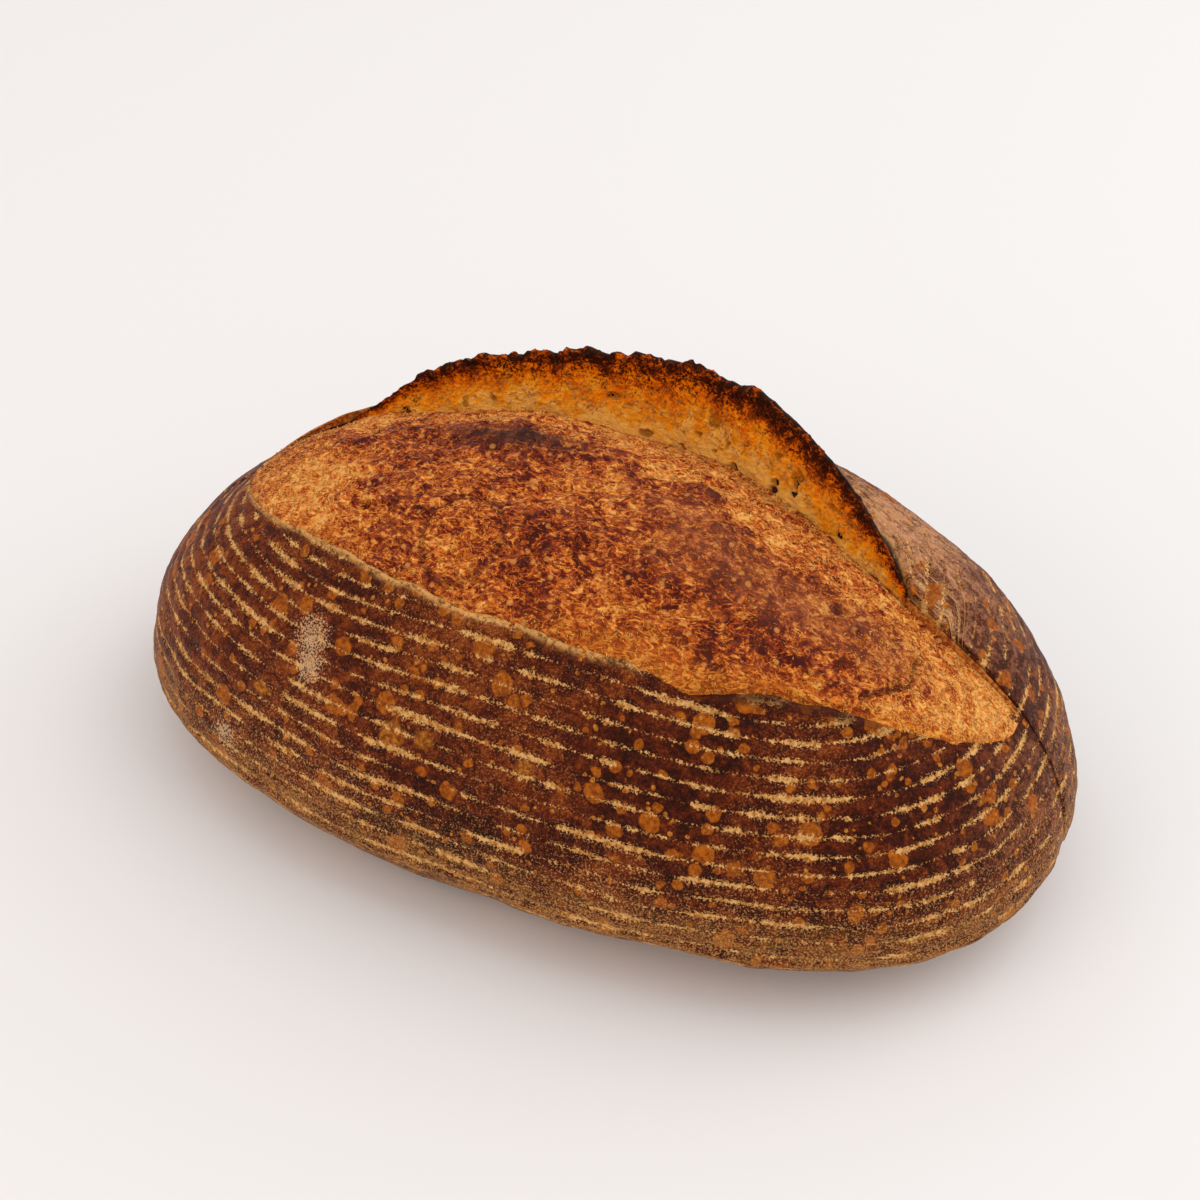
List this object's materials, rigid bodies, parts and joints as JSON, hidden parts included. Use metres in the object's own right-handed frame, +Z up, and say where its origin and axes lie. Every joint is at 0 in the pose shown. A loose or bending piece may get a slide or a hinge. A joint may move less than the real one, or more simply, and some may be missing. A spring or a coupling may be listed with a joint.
{
  "type": "sourdough loaf",
  "caption": "Long oval hearth loaf with a domed crust, split along its top by one score that opens into a torn bulge beside a raised ear.",
  "frame": {"origin": "centre of the bounding box in plan, at the flat foot the loaf rests on", "axes": "+X along the loaf towards its fuller end, +Y across it towards the raised ear, +Z up"},
  "size_m": [0.29, 0.1664, 0.1169],
  "materials": {
    "crust": "baked crust, satin"
  },
  "bodies": {
    "root": {"loaf": "crust"}
  },
  "joints": []
}
